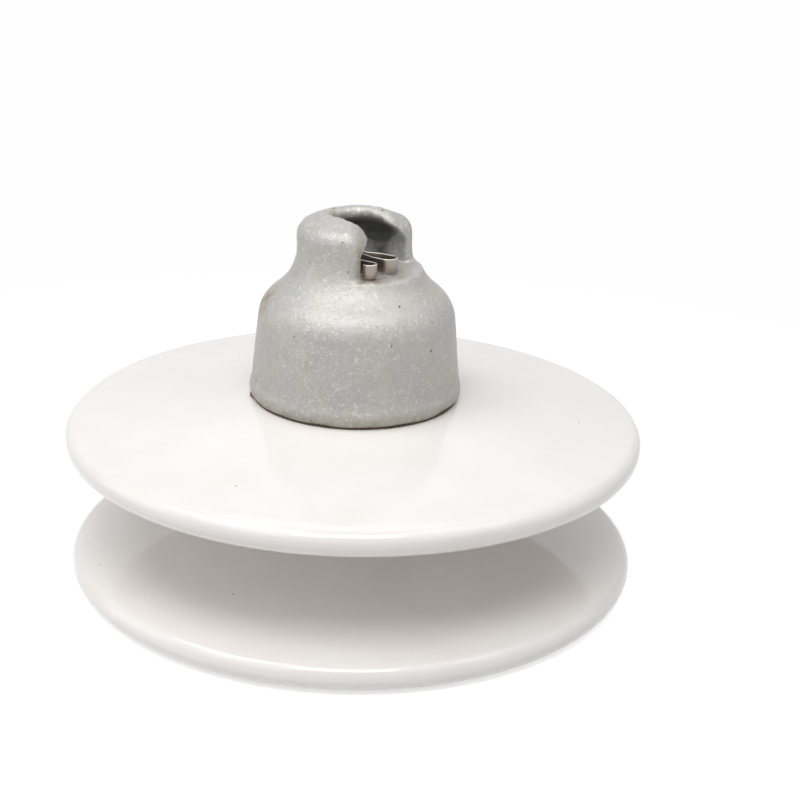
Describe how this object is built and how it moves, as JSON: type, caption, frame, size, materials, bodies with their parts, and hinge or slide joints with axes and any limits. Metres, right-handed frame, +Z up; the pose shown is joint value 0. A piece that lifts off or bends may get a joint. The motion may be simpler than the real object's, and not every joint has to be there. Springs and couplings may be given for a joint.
{
  "type": "porcelain disc suspension insulator",
  "caption": "White glazed porcelain disc insulator with two open sheds, a galvanised socket cap with locking clip on top and a ball-ended pin below.",
  "frame": {"origin": "lowest point of the ball end, on the insulator's axis", "axes": "+Z up the axis from the ball to the cap, -Y out of the socket's mouth"},
  "size_m": [0.255, 0.255, 0.1628],
  "materials": {
    "galvanised_iron": "hot-dip galvanised casting, satin grey with dull mottling",
    "stainless_strip": "bent stainless strip, dull face and bright edges",
    "gasket_felt": "brown pressed felt and cork strip, matt",
    "cement": "fine grey cement mortar, matt",
    "pad_rubber": "matt black",
    "glazed_porcelain": "white glaze, glossy",
    "galvanised_steel": "hot-dip galvanised forging, satin grey"
  },
  "bodies": {
    "unit": {"cap": "galvanised_iron", "rim_gasket": "gasket_felt", "cap_cement": "cement", "head_pad": "pad_rubber", "shell": "glazed_porcelain", "pin_pad": "pad_rubber", "pin_cement": "cement", "pin": "galvanised_steel"},
    "clip": {"locking_clip": "stainless_strip"}
  },
  "joints": [
    {"name": "clip_slide", "type": "slide", "parent": "unit", "child": "clip", "axis": [0, 1, 0], "range_m": [0, 0.026]}
  ]
}
